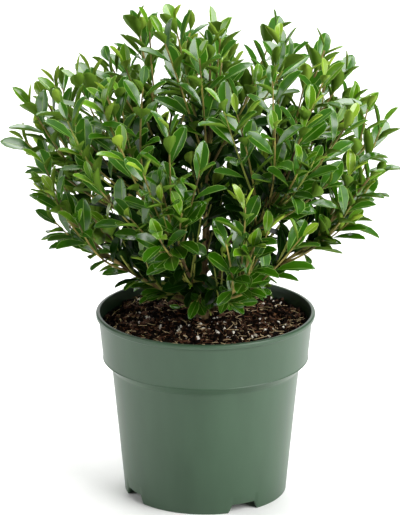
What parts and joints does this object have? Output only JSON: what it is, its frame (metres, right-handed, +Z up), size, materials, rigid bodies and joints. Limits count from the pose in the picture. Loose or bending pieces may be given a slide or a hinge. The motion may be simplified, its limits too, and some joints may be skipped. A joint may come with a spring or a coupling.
{
  "type": "potted japanese holly",
  "caption": "Young rounded evergreen shrub with small oval leaves on arching twigs, growing from bark-flecked potting mix in a tapered green plastic nursery pot with a deep collar.",
  "frame": {"origin": "on the floor, under the middle of the pot's foot", "axes": "+Z up, -Y towards the front that the picture shows, +X to the right seen from the front"},
  "size_m": [0.305, 0.2987, 0.3848],
  "materials": {
    "pot_plastic": "satin moulded polypropylene, dull green",
    "potting_mix": "rough, moist, dark brown peat and bark",
    "bark": "rough tan-olive bark",
    "leaves": "semi-gloss green"
  },
  "bodies": {
    "root": {"pot": "pot_plastic", "potting_mix": "potting_mix", "trunk": "bark", "bough_1": "bark", "bough_2": "bark", "bough_3": "bark", "bough_4": "bark", "bough_5": "bark", "bough_6": "bark", "bough_7": "bark", "bough_8": "bark", "bough_9": "bark", "bough_10": "bark", "bough_11": "bark", "bough_12": "bark", "bough_13": "bark", "bough_14": "bark", "bough_15": "bark", "foliage_1": "leaves", "foliage_2": "leaves", "foliage_3": "leaves", "foliage_4": "leaves", "foliage_5": "leaves", "foliage_6": "leaves", "foliage_7": "leaves", "foliage_8": "leaves", "foliage_9": "leaves", "foliage_10": "leaves", "foliage_11": "leaves", "foliage_12": "leaves", "foliage_13": "leaves", "foliage_14": "leaves", "foliage_15": "leaves"}
  },
  "joints": []
}
